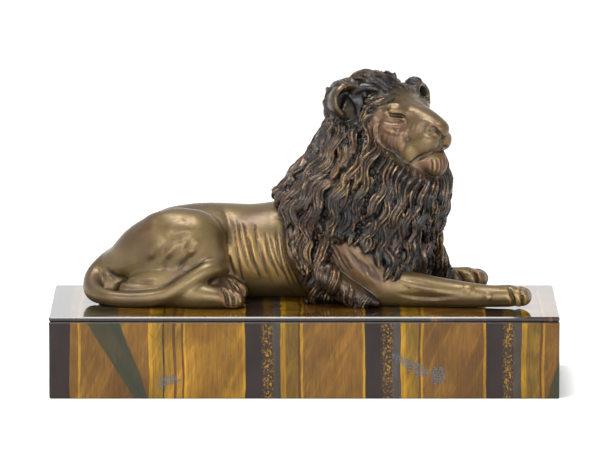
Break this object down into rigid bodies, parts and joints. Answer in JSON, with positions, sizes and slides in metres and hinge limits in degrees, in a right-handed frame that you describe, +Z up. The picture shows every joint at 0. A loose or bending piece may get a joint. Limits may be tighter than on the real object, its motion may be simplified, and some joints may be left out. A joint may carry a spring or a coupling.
{
  "type": "figural paperweight",
  "caption": "Desk paperweight: a recumbent lion in patinated bronze, head turned to the side, on a low rectangular plinth of banded golden stone with a thin polished top slab.",
  "frame": {"origin": "middle of the plinth's underside", "axes": "+X along the plinth, the way the lion points; +Y away from the side its head is turned to; +Z up"},
  "size_m": [0.18, 0.07, 0.1121],
  "materials": {
    "banded_stone": null,
    "polished_stone": null,
    "bronze": "cast bronze with an olive-brown patina, darker in the hair's grooves and rubbed golden on the crests"
  },
  "bodies": {
    "root": {"plinth_block": "banded_stone", "plinth_top_slab": "polished_stone", "lion_figure": "bronze"}
  },
  "joints": []
}
